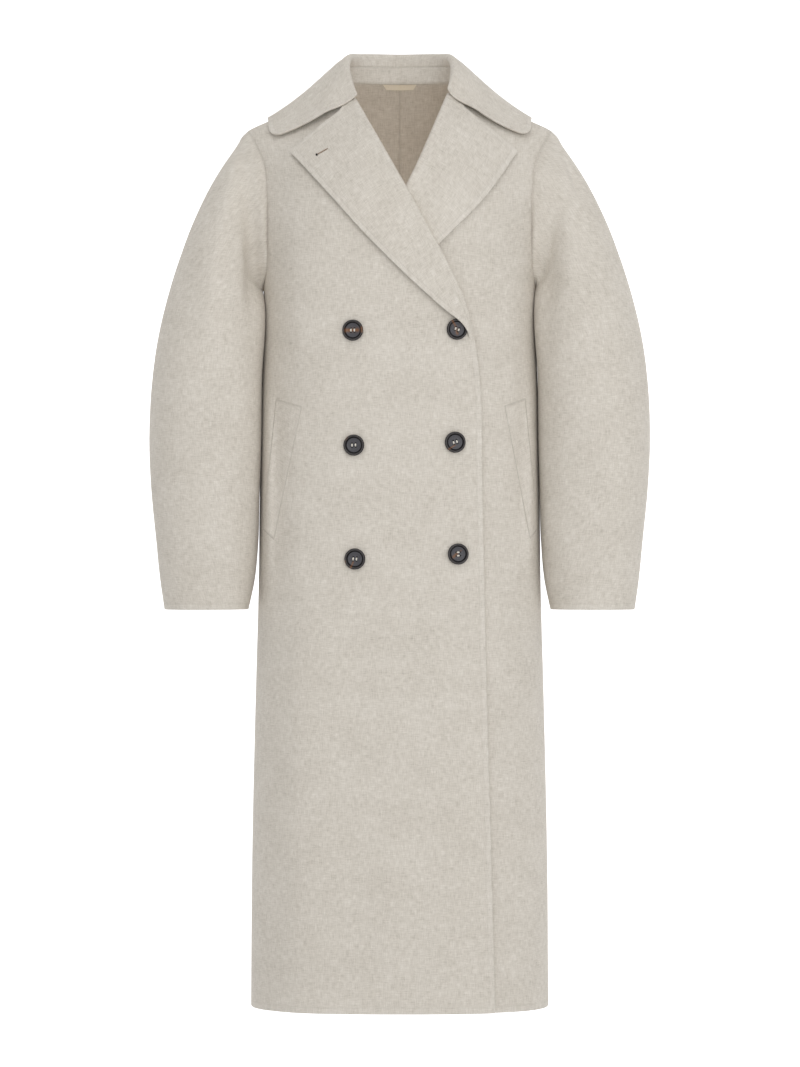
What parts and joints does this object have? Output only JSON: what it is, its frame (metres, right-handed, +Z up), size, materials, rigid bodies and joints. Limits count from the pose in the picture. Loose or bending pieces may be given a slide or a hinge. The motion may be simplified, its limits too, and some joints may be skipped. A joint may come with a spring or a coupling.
{
  "type": "double-breasted coat",
  "caption": "Long double-breasted wool coat with notched lapels, fold-over collar, set-in curved sleeves, slanted welt pockets and dark horn buttons, hollow and filled out as worn.",
  "frame": {"origin": "between the shoulders, level with the foot of the collar at mid depth, where the coat hangs from", "axes": "+Z up along the wearer, -Y out of the front, +X to the wearer's left"},
  "size_m": [0.6462, 0.2611, 1.241],
  "materials": {
    "wool": "brushed double-faced wool, heathered oatmeal",
    "horn": "satin horn, dark with brown streaks",
    "tape": "plain woven tape"
  },
  "bodies": {
    "root": {"back_left": "wool", "back_right": "wool", "front_left": "wool", "front_right": "wool", "lapel_left": "wool", "lapel_right": "wool", "collar_stand": "wool", "collar_fall": "wool", "sleeve_left": "wool", "sleeve_right": "wool", "pocket_welt_left": "wool", "pocket_welt_right": "wool", "hanger_loop": "tape", "button_upper_left": "horn", "button_upper_right": "horn", "button_middle_left": "horn", "button_middle_right": "horn", "button_lower_left": "horn", "button_lower_right": "horn"}
  },
  "joints": []
}
